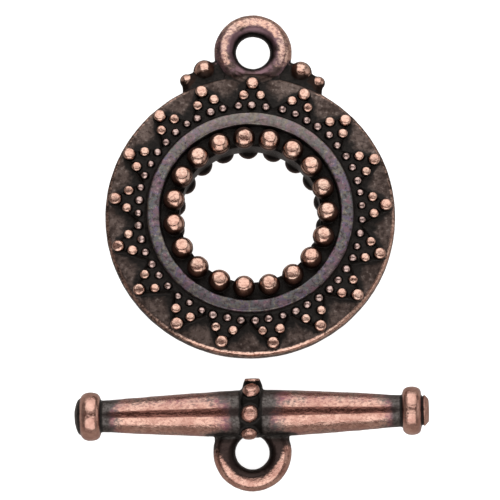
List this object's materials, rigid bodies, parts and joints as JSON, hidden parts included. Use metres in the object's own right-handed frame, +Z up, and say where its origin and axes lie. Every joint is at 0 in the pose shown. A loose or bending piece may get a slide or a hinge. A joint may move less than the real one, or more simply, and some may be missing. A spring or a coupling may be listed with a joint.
{
  "type": "toggle clasp",
  "caption": "Toggle clasp for a necklace or bracelet: a round granulated ring with a beaded hole and a rim loop, and a loose bar with a beaded collar and a loop, lying side by side.",
  "frame": {"origin": "on the surface, under the middle of the pair's bounding box", "axes": "+X along the bar to its right end, +Y from the bar to the ring and on to the ring's loop, +Z up from the surface"},
  "size_m": [0.0244, 0.0336, 0.0045],
  "materials": {
    "ring_metal": "antiqued copper plating: burnished on the high relief, brown-black in the recesses",
    "bar_metal": "antiqued copper plating: satin on the bar, brown-black in the recesses"
  },
  "bodies": {
    "root": {"toggle_ring": "ring_metal", "toggle_bar": "bar_metal"}
  },
  "joints": []
}
